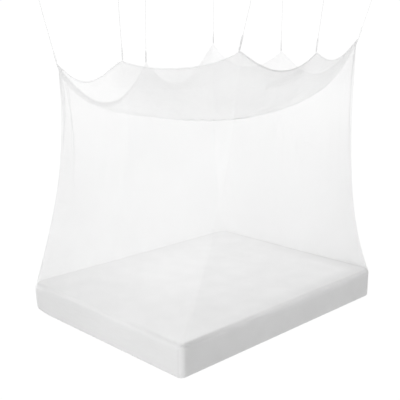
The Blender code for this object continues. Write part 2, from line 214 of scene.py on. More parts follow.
def tape_material(name, colour, pitch):
    """Narrow woven tape, open like the net where its share of threads is low."""
    nodes = Nodes(name, colour, 0.85, {"Sheen Weight": 0.2})
    flat = nodes.add("ShaderNodeUVMap", uv_map="cloth").outputs[0]
    gather = nodes.attribute("gather")
    open_from = nodes.maths("MULTIPLY_ADD", gather, -0.55, 1.0)
    threads = nodes.maths("GREATER_THAN", diamond(nodes, flat, TAPE_PITCH), open_from)
    closed = nodes.maths("GREATER_THAN", gather, 0.99)
    nodes.link(nodes.maths("MAXIMUM", threads, closed), "Alpha")
    twill = nodes.threads(flat, math.radians(35), pitch, "SIN")
    weft = nodes.threads(flat, math.radians(-60), pitch * 1.4, "SIN")
    woven = nodes.maths("MULTIPLY_ADD", twill, 0.6, nodes.maths("MULTIPLY", weft, 0.4))
    mottle(nodes, flat, 45.0, 0.93, 1.04, colour)
    nodes.bump(woven, 0.6, 0.0005)
    return nodes.material


def cord_material():
    nodes = Nodes("cord", CORD_WHITE, 0.8)
    place = nodes.place()
    mottle(nodes, place, 60.0, 0.92, 1.04, CORD_WHITE)
    nodes.bump(nodes.noise(place, 900.0, 2.0), 0.4, 0.0003)  # its fibres
    return nodes.material


def steel_material():
    nodes = Nodes("hook_metal", STEEL, 0.34, {"Metallic": 1.0})
    place = nodes.place()
    brushed = nodes.add("ShaderNodeMapping", {"Vector": place, "Scale": (60.0, 60.0, 900.0)})
    mottle(nodes, place, 120.0, 0.9, 1.05, STEEL)
    nodes.bump(nodes.noise(brushed.outputs[0], 4.0, 2.0), 0.15, 0.0002)
    return nodes.material


def cover_material():
    """The mattress's plain woven cotton cover, with faint creases."""
    nodes = Nodes("ticking", COVER_WHITE, 0.9, {"Sheen Weight": 0.1})
    place = nodes.place()
    warp, weft, rise = (
        nodes.add("ShaderNodeTexWave", {"Vector": place, "Scale": 200.0}, bands_direction=way).outputs["Fac"]
        for way in "XYZ"
    )
    weave = nodes.maths("ADD", nodes.maths("MULTIPLY", warp, weft), nodes.maths("MULTIPLY", rise, 0.5))
    height = nodes.maths("MULTIPLY_ADD", nodes.noise(place, 14.0, 4.0), 6.0, weave)  # with its creases
    mottle(nodes, place, 6.0, 0.97, 1.02, COVER_WHITE)
    nodes.bump(height, 0.35, 0.0008)
    return nodes.material


# --- Mesh helpers ---


def add_mesh(name, points, faces, material, uv=None, gather=None, painted_shading=None):
    mesh = bpy.data.meshes.new(name)
    mesh.from_pydata([tuple(map(float, p)) for p in np.reshape(points, (-1, 3))], [], faces)
    if uv is not None:
        layer = mesh.uv_layers.new(name="cloth")
        corners = np.zeros(len(mesh.loops), np.int32)
        mesh.loops.foreach_get("vertex_index", corners)
        layer.data.foreach_set("uv", np.asarray(uv, np.float32).reshape(-1, 2)[corners].ravel())
    # gather is the net's share of threads; the second attribute is painted shade and painted light
    for key, values in (("gather", gather), ("painted_shading", painted_shading)):
        if values is not None:
            held = mesh.attributes.new(key, "FLOAT", "POINT")
            held.data.foreach_set("value", np.asarray(values, np.float32).ravel())
    mesh.shade_smooth()
    mesh.materials.append(material)
    return add_object(name, mesh)


def grid_faces(rows, cols, wrap=False, start=0, ring=False):
    """Quads of a grid. wrap joins each row's end to its start, and ring the last row to the first."""
    faces = []
    for r in range(rows if ring else rows - 1):
        here, there = start + r * cols, start + (r + 1) % rows * cols
        for c in range(cols if wrap else cols - 1):
            after = (c + 1) % cols
            faces.append((here + c, there + c, there + after, here + after))
    return faces


def ripples(a, b, seed, count, wave_a, wave_b):
    """Seeded waves of mean height 0 and size about 1, wave_a long one way and wave_b the other."""
    rng = np.random.RandomState(seed)
    total = np.zeros(np.broadcast(a, b).shape)
    for _ in range(count):
        ka = 2 * math.pi / (wave_a * rng.uniform(0.6, 1.7))
        kb = 2 * math.pi / (wave_b * rng.uniform(0.6, 1.7)) * rng.choice((-1, 1))
        total += np.cos(a * ka + b * kb + rng.uniform(0, 2 * math.pi)) * rng.uniform(0.6, 1.0)
    return total / math.sqrt(count / 2)


def walked(points):
    """How far each point lies along the line through them."""
    return np.concatenate([[0], np.cumsum(np.linalg.norm(np.diff(points, axis=0), axis=1))])


def bell(x, centre, width):
    return np.exp(-(((x - centre) / width) ** 2))


def ramp(x, low, high):
    t = np.clip((x - low) / (high - low), 0, 1)
    return t * t * (3 - 2 * t)


# --- The bed's outline and the seam ---


def side_length(side):
    return BED_WIDTH if side in ("foot", "head") else BED_LENGTH


def side_run(side):
    """Length of the outline along a side, from the middle of one corner to the middle of the next."""
    return side_length(side) - 2 * BED_CORNER + BED_CORNER * math.pi / 2


def outline(side, s):
    """(points, outward directions) on the bed's outline, level, s from the side's first corner."""
    ahead = np.array(AHEAD[side], float)
    outward = np.array((ahead[1], -ahead[0]))
    across = BED_LENGTH if side in ("foot", "head") else BED_WIDTH
    arc, half = BED_CORNER * math.pi / 4, side_length(side) / 2 - BED_CORNER
    s = np.asarray(s, float)
    turn, centre = np.zeros(s.shape), np.clip(s - arc, 0, 2 * half) - half
    radius = np.full(s.shape, BED_CORNER)
    for name, way, past in ((SIDES[side][0], -1, arc - s), (SIDES[side][2], 1, s - arc - 2 * half)):
        # A squarer corner runs straight on for a while, and then turns more tightly
        tight = SQUARE_CORNERS.get(name, BED_CORNER)
        straight = BED_CORNER - tight
        path = np.clip(past / arc, 0, 1) * (straight + tight * math.pi / 4)
        turn += way * np.maximum(path - straight, 0) / tight
        centre += way * np.minimum(path, straight)
        radius = np.where(way * (s - arc - half) > 0, tight, radius)
    direction = outward * np.cos(turn)[..., None] + ahead * np.sin(turn)[..., None]
    inner = ahead * centre[..., None] + outward * (across / 2 - radius)[..., None]
    return inner + direction * radius[..., None], direction


def corner_shading(outward):
    """Painted shading of the bed's side by the way it faces: painted light round the near corner, painted
    shade to the right.
    """
    turn = np.arctan2(outward[..., 0], -outward[..., 1])  # 0 on the foot side, then towards the right
    # Painted light on the near corner's arc, and painted shade past it towards the right
    painted_brightness = ramp(turn, 0.30, 0.60) * (1 - ramp(turn, 0.85, 1.15))
    darkened = 0.05 * ramp(turn, 1.10, 1.40) * (1 - ramp(turn, 1.8, 2.2))
    return darkened - 0.10 * painted_brightness + 0.03 * bell(turn, 0.25, 0.16)


def foot_shading(s):
    """Painted light on the foot side, below 0 so that its middle is a little lighter than its ends."""
    return -0.045 * bell(s, 0.85, 0.30)


def mix(side, s, column):
    """A value of the HANG table that eases along a side."""
    values = [HANG[name][column] for name in SIDES[side]]
    share = 2 * np.asarray(s, float) / side_run(side)
    later = share > 1
    first, last = np.where(later, values[1], values[0]), np.where(later, values[2], values[1])
    share = share - later
    return first + (last - first) * share * share * (3 - 2 * share)


def base_round(side, s):
    """Radius of the mattress's lower edge: softest at the foot's left corner."""
    s = np.asarray(s, float)
    near_soft = {"foot": s, "left": side_run(side) - s}.get(side, s + 1.0)
    return BASE_SOFT + (BASE_ROUND - BASE_SOFT) * ramp(near_soft, 0.03, 0.20)


def seam(side, s):
    """Points of the sagging seam above the bed outline's points s."""
    points = np.zeros((len(s), 3))
    shares = 2 * np.asarray(s, float) / side_run(side)
    for half in (0, 1):
        picked = shares > 1 if half else shares <= 1
        share = np.clip(shares[picked] - half, 0, 1)
        name = SIDES[side][half]
        start, end = (np.array(HANG[n][:3]) for n in SIDES[side][half : half + 2])
        depth, steep, steep_end = HANG[name][8:]
        lowest = steep / (steep + steep_end)
        slack = share**steep * (1 - share) ** steep_end
        slack /= lowest**steep * (1 - lowest) ** steep_end
        inward = np.array((start[1] - end[1], end[0] - start[0], 0.0))
        inward /= np.linalg.norm(inward)
        line = start + (end - start) * share[:, None]
        line += inward * (SEAM_BOW * 4 * share * (1 - share))[:, None]
        line[:, 2] -= depth * slack
        points[picked] = line
    return points


# --- Net panels ---

ROWS = 150  # rows of a side panel from the seam to the bed's upper edge
FLAT_TOP, FLAT_DROP = 1.6, 1.5  # the cloth's own place down a panel is FLAT_TOP - v * FLAT_DROP
LOWEST = 0.0006  # the net's underside above the floor
CORNER_TUCK = 0.8  # of a squarer corner's radius: how far the hem reaches in there

# Pleats that are pinched in where a panel is gathered up to its hanging point
PLEATS = {
    # side: (s at the top, s at the foot, width at the top, v where it ends)
    "foot": ((0.006, 0.012, 0.040, 0.42), (0.047, 0.190, 0.009, 0.62)),
    "right": ((0.030, 0.130, 0.014, 0.22), (1.900, 1.903, 0.012, 0.60)),
    "head": ((0.012, 0.020, 0.010, 0.55),),
    "left": ((1.876, 1.868, 0.014, 0.45),),
}
PLEAT_LIFT = 0.0022
CORNER_GATHERS = {"foot_left": 0.0016, "foot_right": 0.0004, "head_right": 0.0010, "head_left": 0.0003}
# Shares of threads that a corner and the bed's side add, and a factor on each side's own share
CORNER_COVER = {"foot_left": 0.17, "head_right": 0.05}
BED_COVER = {"foot": 0.55, "right": 0.03}
SIDE_COVER = {"foot": 1.30, "right": 0.36, "head": 1.0, "left": 0.80}
# Share of threads of any side panel: at its top, and what its waist and its foot add to that
TOP_COVER, WAIST_COVER, FOOT_COVER = 0.115, 0.085, 0.13

# Share of threads drawn to the hanging points at the ends of a side
FAR_ROWS = (0.09, 0.15, 0.24, 0.45, 0.60, 0.80)
END_COVER = {
    # side: (0 at its first end or 1 at its last, width, rows from 0 to 1, share at each row)
    "foot": (
        (0, 0.55, (0.0, 0.15, 0.30, 0.62, 0.80, 1.0), (-0.03, -0.03, 0.0, 0.12, 0.09, -0.05)),
        (1, 0.30, (0.60, 0.95), (0.0, -0.22)),
    ),
    "right": ((1, 0.28, FAR_ROWS, (0.07, 0.03, -0.01, 0.02, 0.05, 0.01)),),
    "head": (
        (0, 0.30, FAR_ROWS, (0.07, 0.03, 0.0, 0.05, 0.05, 0.02)),
        (1, 0.25, (0.05, 0.30, 0.42, 0.55), (0.0, 0.10, 0.06, -0.04)),
    ),
    "left": ((1, 0.55, (0.30, 0.62, 1.0), (0.0, 0.12, 0.12)),),
}
# A pleat's section, point by point: (place across it, layers of cloth up)
PLEAT_STEPS = (
    (0, 0.0), (0.5, 0.0), (1, 0.0), (1, 0.5), (0.5, 1.0),
    (0, 1.0), (0, 1.5), (0.5, 2.0), (1, 2.0), (1, 1.0),
)


def panel_columns(side):
    """(s, pleat number or -1, place across the pleat, layers up, place once it is undone) by column."""
    run = side_run(side)
    near = np.linspace(0, 0.10, 26)
    middle = np.linspace(0.10, run - 0.10, 131)[1:-1]
    plain = [(s, -1, 0.0, 0.0, 0.0) for s in (*near, *middle, *(run - near[::-1]))]
    columns = []
    for number, (top, _, width, _) in enumerate(sorted(PLEATS[side])):
        columns += [c for c in plain if c[0] < top - 1e-4]
        columns += [(top, number, *step, k / len(PLEAT_STEPS)) for k, step in enumerate(PLEAT_STEPS)]
        plain = [c for c in plain if c[0] > top + width + 1e-4]
    return columns + plain


def wall_point(side, s, v):
    """Outer face of a side panel: s and v are arrays of one shape, v 0 at the seam, 1 at the bed."""
    shape = s.shape
    s, v = s.ravel(), v.ravel()
    waist, flare, edge = (mix(side, s, column) for column in (5, 6, 7))
    top = seam(side, s)
    top[:, 2] -= WALL_DROP
    rim, outward = outline(side, s)
    radius, middle_z = edge + CLOTH_GAP + NET_THICK, BED_TOP - edge
    spread = ((rim - top[:, :2]) * outward).sum(1)
    lean = np.arctan(np.maximum(0, flare * spread / (top[:, 2] - middle_z)))
    foot = rim - outward * (radius * (1 - np.cos(lean)))[:, None]
    foot_z = middle_z + radius * np.sin(lean)
    points = np.zeros((len(s), 3))
    hung = np.clip(v, 0, 1)
    share = (hung**flare)[:, None]
    points[:, :2] = top[:, :2] + (foot - top[:, :2]) * share
    points[:, 2] = top[:, 2] + (foot_z - top[:, 2]) * hung
    from_middle = top[:, :2] / np.linalg.norm(top[:, :2], axis=1)[:, None]
    points[:, :2] -= from_middle * (waist * WAIST_PEAK * hung * (1 - hung) ** 2)[:, None]
    # Below the bed's upper edge: its rounding, the side, the lower rounding and the tuck
    bend, base = np.clip(v - 1, 0, 1), base_round(side, s) + CLOTH_GAP + NET_THICK
    angle = lean * (1 - bend)
    low = v > 1
    on_round = rim - outward * (radius * (1 - np.cos(angle)))[:, None]
    points[low, :2], points[low, 2] = on_round[low], (middle_z + radius * np.sin(angle))[low]
    down = v > 2
    points[down, 2] = (middle_z + (base - middle_z) * np.clip(v - 2, 0, 1))[down]
    bulge = BASE_BULGE * np.sin(math.pi * np.clip(v - 1, 0, 2) / 2)
    bulge *= (base_round(side, s) - BASE_ROUND) / (BASE_SOFT - BASE_ROUND)
    under = v > 3
    angle = math.pi / 2 * np.clip(v - 3, 0, 1)
    curled = rim - outward * (base * (1 - np.cos(angle)))[:, None]
    points[under, :2], points[under, 2] = curled[under], (base * (1 - np.sin(angle)))[under]
    tucked = v > 4
    least = CORNER_TUCK * SQUARE_CORNERS["foot_right"]
    near = np.linalg.norm(rim - (BED_WIDTH / 2, -BED_LENGTH / 2), axis=1)
    reach = least + (TUCK - least) * ramp(near, 0.03, 2 * TUCK)
    inside = rim - outward * (base + (reach - base) * np.clip(v - 4, 0, 1))[:, None]
    points[tucked, :2] = inside[tucked]
    points[:, 2] = np.maximum(points[:, 2], LOWEST)
    points[:, :2] += outward * bulge[:, None]
    return points.reshape(*shape, 3), outward.reshape(*shape, 2)


def panel_rows():
    """v of each row: to 1 hung, to 2 round the upper edge, to 3 down, to 4 round the lower, to 5 tucked."""
    parts = [np.linspace(0, 1, ROWS)]
    for start, count in ((1, 7), (2, 7), (3, 7), (4, 4)):
        parts.append(start + np.linspace(0, 1, count)[1:])
    return np.concatenate(parts)


def corner_gathers(side, s, v):
    """Fine gathers that run down the corner edges of the net."""
    near = CORNER_GATHERS[SIDES[side][0]] * bell(s, 0.0, 0.042)
    near += CORNER_GATHERS[SIDES[side][2]] * bell(s, side_run(side), 0.042)
    return near * np.cos(2 * math.pi * s / 0.012 + 2.0 * v) * ramp(v, 0.0, 0.05)


def coverage(side, s, v):
    """Share of threads: the net is drawn closer towards the bed, at corners and at its waist."""
    run = side_run(side)
    down = np.clip(v, 0, 1)
    base = TOP_COVER + WAIST_COVER * ramp(down, 0.08, 0.45) + FOOT_COVER * ramp(down, 0.50, 1.0)
    if side == "right":
        # Even from top to bottom, thinner by the near corner and closer towards the head
        base -= FOOT_COVER * ramp(down, 0.50, 1.0)
        base += 0.08 * (1 - ramp(down, 0.45, 0.75))
        base *= 1 - 0.55 * bell(s, 0.0, 0.40) * ramp(down, 0.30, 0.60)
        base += 0.10 * ramp(s / run, 0.55, 1.0) * ramp(down, 0.25, 0.8)
    if side == "head":
        base += 0.10 * ramp(1 - s / run, 0.45, 1.0) * ramp(down, 0.25, 0.8)
    base *= SIDE_COVER[side]
    base += BED_COVER.get(side, 0.0) * ramp(v, 0.95, 1.12)
    for end, width, heights, shares in END_COVER[side]:
        base += bell(s, end * run, width) * np.interp(down, heights, shares)
    for name, place in ((SIDES[side][0], 0.0), (SIDES[side][2], run)):
        # The corner's own seam, the net drawn to it above, and the net bunched at the hanging point
        cover = CORNER_COVER.get(name, 0.0)
        base += cover * bell(s, place, 0.008)
        base += 0.25 * cover * bell(s, place, 0.025) * (1 - ramp(v, 0.10, 0.30))
        base += 1.6 * cover * bell(s, place, 0.02) * (1 - ramp(v, 0.02, 0.07))
    return base


# Spare net bunched outside the hem: (s, v of its upper edge, v of its lower edge, share of threads)
HEM_FOLDS = {
    "right": (
        (0.330, 0.085, 0.106, 0.12), (0.350, 0.060, 0.085, 0.14), (0.390, 0.040, 0.070, 0.16),
        (0.460, 0.037, 0.057, 0.16), (0.560, 0.024, 0.053, 0.16), (0.680, 0.010, 0.046, 0.14),
        (0.760, 0.005, 0.042, 0.16), (0.810, 0.004, 0.034, 0.18), (0.845, 0.006, 0.024, 0.12),
    ),
    "left": (
        (1.120, 0.002, 0.008, 0.10), (1.220, 0.002, 0.014, 0.14), (1.340, 0.001, 0.020, 0.18),
        (1.500, 0.001, 0.024, 0.22), (1.640, 0.001, 0.030, 0.23), (1.760, 0.001, 0.038, 0.23),
        (1.850, 0.001, 0.046, 0.24), (1.930, 0.001, 0.034, 0.22),
    ),
}
HEM_RAGGED = 0.0025  # of the bunched net's edges, in v
HEM_OUT, HEM_PUFF, HEM_LEAST = 0.0036, 0.0045, 0.0030  # how far it stands off the side


def flat_place(s, v):
    """The cloth's own place in metres, which its threads follow."""
    return np.stack([s, FLAT_TOP - v * FLAT_DROP], -1)


def hem_fold(side):
    """(points, flat places, shares of threads) of the bunched net, as a grid."""
    places, upper, lower, shares = np.array(HEM_FOLDS[side]).T
    s = np.linspace(places[0], places[-1], 121)
    across = np.linspace(0, 1, 13)[:, None]
    ragged = HEM_RAGGED * ripples(s, 0 * s, 61, 8, 0.045, 1.0)
    top, foot = np.interp(s, places, upper) + 0.4 * ragged, np.interp(s, places, lower) + ragged
    v = np.maximum(0.001, top + (foot - top) * across)
    s = np.repeat(s[None], len(across), 0)
    points, outward = wall_point(side, s, v)
    down = v * FLAT_DROP
    out = HEM_OUT + HEM_PUFF * np.sin(math.pi * across) + 0.0016 * ripples(s, down, 62, 8, 0.030, 0.020)
    points[..., :2] += outward * np.maximum(HEM_LEAST, out)[..., None]
    gather = np.interp(s, places, shares) * (1 + 0.25 * ripples(s, down, 63, 8, 0.05, 0.03))
    return points, flat_place(s, v), np.clip(gather, 0.08, 0.9)


PANEL_SEEDS = {"foot": 3, "right": 5, "head": 7, "left": 9}
WAVE, SMALL_WAVE = 0.0022, 0.0003  # of the hung net
TENSION_FOLDS = ((-0.36, 0.9), (-0.13, 1.3), (0.12, 1.2), (0.33, 0.8))  # (slant, size) below each peak
TENSION_DEPTH, CORNER_ROLL, EDGE_FOLD = 0.0045, 0.011, 0.0016


def pleated(side, columns, rows):
    """(s, lift) of each point, with the pleats laid in."""
    run, pleats = side_run(side), sorted(PLEATS[side])
    knots = np.array([0.0, *(p[0] for p in pleats), run])
    plain = np.array([c[0] for c in columns])
    s = np.zeros((len(rows), len(columns)))
    for r, v in enumerate(rows):
        # The pleats lean along the side as they run down, and take the cloth between them along
        moved = [(foot - top) * min(v / end, 1) * (1 - ramp(v, end, 1)) for top, foot, _, end in pleats]
        s[r] = np.interp(plain, knots, knots + np.array([0.0, *moved, 0.0]))
    lift = np.zeros_like(s)
    for c, (_, number, across, layer, undone) in enumerate(columns):
        if number >= 0:
            _, _, width, end = pleats[number]
            wide = width * np.clip(1 - rows / end, 0, 1) ** 0.8
            s[:, c] += wide * across + (width - wide) * undone
            lift[:, c] = PLEAT_LIFT * layer * np.minimum(1, wide / 0.006)
    return np.clip(s, 0, run), lift


def stand_off(side, s, v, lift):
    """How far the net stands out from its smooth form: waves, folds, gathers and pleats."""
    run, seed, down = side_run(side), PANEL_SEEDS[side], v * FLAT_DROP
    ends = np.minimum(1, np.minimum(s, run - s) / 0.03)
    hung = ramp(v, 0.0, 0.08) * (1 - ramp(v, 0.90, 1.0))
    depth = WAVE * ripples(s, down, seed, 9, 0.16, 2.2) * hung * ends
    depth += SMALL_WAVE * ripples(s, down, seed + 20, 9, 0.045, 0.7) * hung * ends
    # Tension folds fan out from the hanging points
    upper = ramp(v, 0, 0.04) * (1 - ramp(v, 0.1, 0.55))
    for place in (0.0, run / 2, run):
        for angle, size in TENSION_FOLDS:
            line = place + angle * v * 1.2
            depth -= TENSION_DEPTH * size * bell(s, line, 0.012 + 0.05 * v) * upper
    if side in ("foot", "left"):
        # The gathered corner stands out in a soft roll
        place = 0.0 if side == "foot" else run
        depth += CORNER_ROLL * bell(s, place, 0.06) * ramp(v, 0, 0.05) * (1 - ramp(v, 0.25, 0.65))
    # Short folds where the net is pulled over the bed's edge
    pull = bell(v, 1.0, 0.10) * (1 - ramp(v, 1.0, 1.5))
    depth += EDGE_FOLD * np.abs(ripples(s, v, seed + 40, 8, 0.07, 0.8)) * pull
    depth += corner_gathers(side, s, v) * (1 - ramp(v, 0.94, 1.0))
    return depth + lift * (1 - ramp(v, 0.9, 1.0))


def panel_shading(side, s, v, outward):
    """Painted shading of a side panel, all of it over the bed's side."""
    painted_shading = corner_shading(outward)
    if side == "right":
        painted_shading = painted_shading * bell(s, 0, 0.8)
    if side == "foot":
        painted_shading = painted_shading + foot_shading(s)
    return (painted_shading * ramp(v, 0.98, 1.1)).ravel()


def add_panel(side, material):
    columns, rows = panel_columns(side), panel_rows()
    s, lift = pleated(side, columns, rows)
    v = np.repeat(rows[:, None], len(columns), 1)
    points, outward = wall_point(side, s, v)
    points[..., :2] += outward * stand_off(side, s, v, lift)[..., None]
    sheets = [(points, flat_place(s, v), coverage(side, s, v))]
    # Painted shade and painted light on the net where it lies over the bed's side
    painted_shading = panel_shading(side, s, v, outward)
    if side in HEM_FOLDS:
        sheets.append(hem_fold(side))
        painted_shading = np.concatenate([painted_shading, np.zeros(sheets[1][2].size)])
    faces, start = [], 0
    for grid, _, _ in sheets:
        faces += grid_faces(*grid.shape[:2], start=start)
        start += grid.shape[0] * grid.shape[1]
    points, uv, gather = (
        np.concatenate([a.reshape(-1, size) for a in part]) for part, size in zip(zip(*sheets), (3, 2, 1))
    )
    panel = add_mesh(f"net_{side}", points, faces, material, uv=uv, gather=gather, painted_shading=painted_shading)
    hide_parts(f"wall_{side}")
    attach(panel, "root")


# --- The roof ---

FINE = 3  # steps for each of the solids', and then again for each of those
ROOF_CREASE, ROOF_FINE_CREASE, ROOF_FOLD = 0.0035, 0.0016, 0.006
ROOF_FOLD_TURNS = (-0.75, -0.4, -0.1, 0.2, 0.55)  # of the folds that run in from a hanging point
# The hanging points once round from the foot's left: shares of the way to the right and to the head
ROOF_PEAKS = ((0, 0), (0.5, 0), (1, 0), (1, 0.5), (1, 1), (0.5, 1), (0, 1), (0, 0.5))


def roof_stations(side):
    """The solids' columns, each gap cut into equal steps."""
    run, arc = side_run(side), BED_CORNER * math.pi / 4
    half = [arc * k / 3 for k in range(3)]
    half += [arc + (run / 2 - arc) * (1 - (1 - k / 6) ** 1.6) for k in range(7)]
    coarse = np.array(half + [run - s for s in reversed(half[:-1])])
    place = np.linspace(0, len(coarse) - 1, (len(coarse) - 1) * FINE + 1)
    return np.interp(place, np.arange(len(coarse)), coarse)


def roof_points(across, along):
    """The roof: a net stretched over the seam, with a slack belly. Solved on its own grid."""
    wide, long = len(across), len(along)
    rim = np.zeros((wide, long, 3))
    rim[:, 0], rim[-1, :] = seam("foot", across), seam("right", along)
    rim[::-1, -1], rim[0, ::-1] = seam("head", across), seam("left", along)
    number = -np.ones((wide, long), int)
    number[1:-1, 1:-1] = np.arange((wide - 2) * (long - 2)).reshape(wide - 2, long - 2)
    i, j = (a.ravel() for a in np.meshgrid(np.arange(1, wide - 1), np.arange(1, long - 1), indexing="ij"))
    me = number[i, j]
    matrix, right = np.zeros((len(me), len(me))), np.zeros((len(me), 4))
    share_x, share_y = across / across[-1] - 0.5, along / along[-1] - 0.5
    right[:, 3] = 1 + ROOF_SKEW_X * share_x[i] + ROOF_SKEW_Y * share_y[j]
    for places, index, di, dj in ((across, i, 1, 0), (along, j, 0, 1)):
        before, after = places[index] - places[index - 1], places[index + 1] - places[index]
        for sign, gap in ((-1, before), (1, after)):
            weight = 2 / ((before + after) * gap)
            matrix[me, me] += weight
            near = number[i + sign * di, j + sign * dj]
            inner = near >= 0
            matrix[me[inner], near[inner]] -= weight[inner]
            outer = ~inner
            edge = rim[(i + sign * di)[outer], (j + sign * dj)[outer]]
            right[me[outer], :3] += weight[outer, None] * edge
    solved = np.linalg.solve(matrix, right)
    points = rim.copy()
    points[1:-1, 1:-1] = solved[:, :3].reshape(wide - 2, long - 2, 3)
    belly = np.zeros((wide, long))
    belly[1:-1, 1:-1] = solved[:, 3].reshape(wide - 2, long - 2)
    belly /= belly.max()
    points[..., 2] -= ROOF_SAG * np.maximum(0, belly) ** ROOF_FULL
    return points, belly


def finer(values):
    """Smooth in-between rows and columns of a grid, by cubic steps."""
    for axis in (0, 1):
        values = np.moveaxis(values, axis, 0)
        count = len(values)
        place = np.linspace(0, count - 1, (count - 1) * FINE + 1)
        low = np.clip(place.astype(int), 0, count - 2)
        t = (place - low).reshape(-1, *([1] * (values.ndim - 1)))
        p0, p1 = values[np.maximum(low - 1, 0)], values[low]
        p2, p3 = values[low + 1], values[np.minimum(low + 2, count - 1)]
        bend = 2 * p0 - 5 * p1 + 4 * p2 - p3 + t * (3 * (p1 - p2) + p3 - p0)
        values = np.moveaxis(p1 + 0.5 * t * (p2 - p0 + t * bend), 0, axis)
    return values


def roof_coverage(a, b):
    """Share of threads of the roof: a runs from the left side to the right, b from foot to head."""
    foot, right = bell(b, 0, 0.19), bell(a, 1, 0.24)
    slopes = 0.15 + 0.07 * (1 - ramp(a, 0.20, 0.70))
    share = slopes * (1 - foot) + foot * (0.05 + 0.20 * ramp(a, 0.30, 0.58) + 0.06 * ramp(a, 0.58, 0.82))
    share += (0.32 - share) * right
    share += 0.12 * bell(a, 0.87, 0.09) * ramp(b, 0.04, 0.16) * (1 - ramp(b, 0.45, 0.62))
    share += 0.11 * bell(b, 1, 0.22) * ramp(a, 0.30, 0.50) + 0.13 * bell(b, 1, 0.10) * bell(a, 0, 0.12)
    share *= 1 - 0.55 * bell(a, 0, 0.14)
    return share - 0.14 * bell(np.hypot(1 - a, 1 - b), 0, 0.16)


def add_roof(material):
    across, along = roof_stations("foot"), roof_stations("right")
    points, belly = roof_points(across, along)
    points, belly = finer(points), finer(belly)
    u = finer(np.repeat(across[:, None], len(along), 1))
    w = finer(np.repeat(along[None], len(across), 0))
    inner = ramp(belly, 0.0, 0.20)
    crease = ROOF_CREASE * ripples(u, w, 11, 10, 0.13, 0.17)
    crease += ROOF_FINE_CREASE * ripples(u, w, 12, 10, 0.055, 0.06)
    points[..., 2] += crease * inner
    # Folds run in from the hanging points
    for a, b in ROOF_PEAKS:
        du, dw = u - a * across[-1], w - b * along[-1]
        reach = np.hypot(du, dw) + 1e-6
        toward = math.atan2((0.5 - b) * along[-1], (0.5 - a) * across[-1])
        for off in ROOF_FOLD_TURNS:
            bearing = np.arctan2(dw, du) - toward - off
            bearing = (bearing + math.pi) % (2 * math.pi) - math.pi
            fold = bell(bearing * reach, 0, 0.012 + 0.03 * reach) * bell(reach, 0.16, 0.15)
            points[..., 2] -= ROOF_FOLD * fold * inner
    gather = roof_coverage(u / across[-1], w / along[-1])
    # Rows run from the head to the foot, so that the upper face looks up
    points, u, w = points.transpose(1, 0, 2)[::-1], u.T[::-1], w.T[::-1]
    gather = gather.T[::-1]
    uv = np.stack([u, w], -1)
    roof = add_mesh("net_roof", points, grid_faces(*u.shape), material, uv=uv, gather=gather)
    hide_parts("roof_panel")
    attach(roof, "root")
    return roof


# --- Seam tape, loops, cords and hooks ---


def seam_round(count):
    """The whole seam once round, and the mitred level way out at each point."""
    evenly = {side: np.linspace(0, side_run(side), count + 1)[:-1] for side in SIDES}
    points = np.concatenate([seam(side, s) for side, s in evenly.items()])
    step = np.roll(points, -1, 0) - points
    step = step[:, :2] / np.linalg.norm(step[:, :2], axis=1)[:, None]
    before = np.roll(step, 1, 0)
    one, two = (np.stack([d[:, 1], -d[:, 0]], 1) for d in (before, step))
    mitre = one + two
    mitre /= np.linalg.norm(mitre, axis=1)[:, None]
    mitre /= (mitre * one).sum(1)[:, None]
    return points, mitre


# Share of threads in the seam's tape from each hanging point to the next, from the foot's left
TAPE_COVER = (0.46, 0.34, 0.40, 0.14, 0.06, 0.06, 0.05, 0.08)
# The tape's section, once round and closed: (out from the seam, up from it)
TAPE_SECTION = (
    (0.0006, 0.0018), (0.0012, 0.0024), (0.0021, 0.0021), (0.0024, 0.0012), (0.0022, -0.0030),
    (0.0025, -0.0068), (0.0021, -0.0080), (0.0010, -0.0082), (0.0006, -0.0072), (0.0008, -0.0030),
    (0.0006, 0.0018),
)
TAPE_STEPS, PUCKER = 160, 0.0004  # steps along each side, and how far its outer face wanders


def add_tape(material):
    """The seam's binding: a folded tape, a little puckered between its stitches."""
    points, out = seam_round(TAPE_STEPS)
    length, around = walked(points), walked(np.array(TAPE_SECTION))
    pucker = PUCKER * ripples(length, 0 * length, 31, 10, 0.020, 1.0)
    rings = []
    for off, rise in TAPE_SECTION:
        ring = points.copy()
        ring[:, :2] += out * (off + pucker * (off > 0.0015))[:, None]
        ring[:, 2] += rise + 0.4 * pucker
        rings.append(ring)
    uv = np.stack([np.tile(length, len(rings)), np.repeat(around, len(length))], 1)
    spans = np.repeat(TAPE_COVER, len(points) // len(TAPE_COVER))
    gather = np.tile((spans + np.roll(spans, 1)) / 2, len(rings))
    faces = grid_faces(len(rings), len(points), wrap=True)
    tape = add_mesh("seam_tape", rings, faces, material, uv=uv, gather=gather)
    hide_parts("edge_tape")
    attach(tape, "root")
    return tape


def cord_line(name):
    hook_x, hook_y = HANG[name][3:5]
    start = np.array(HANG[name][:3]) + (0, 0, TAPE_ABOVE + SEAT_GAP)
    eye = CEILING - PLATE_THICK - STEM - 2 * EYE_RADIUS - EYE_WIRE - SEAT_GAP
    end = np.array((hook_x, hook_y, eye))
    return start, (end - start) / np.linalg.norm(end - start), end


def frame_of(name):
    """(up the cord, along the seam, away from the seam) at a hanging point."""
    _, up, _ = cord_line(name)
    around = list(HANG)
    place = around.index(name)
    before, after = (HANG[around[(place + k) % len(around)]] for k in (-1, 1))
    side = np.array((after[0] - before[0], after[1] - before[1], 0.0))
    side /= np.linalg.norm(side)
    side -= up * side.dot(up)
    side /= np.linalg.norm(side)
    return up, side, np.cross(side, up)


LOOP_COVER = 0.30  # share of threads in the loops' open braid
LOOP_STEPS = 26  # up each ply
LOOP_FOOT, PLY, PLY_BOW = 0.0006, 0.0010, 0.0024
# The loop's section, once round and closed: (whether it is on the outer face, place across)
LOOP_SECTION = ((1, -1.0), (1, -0.5), (1, 0.5), (1, 1.0), (0, 1.0), (0, 0.0), (0, -1.0), (1, -1.0))


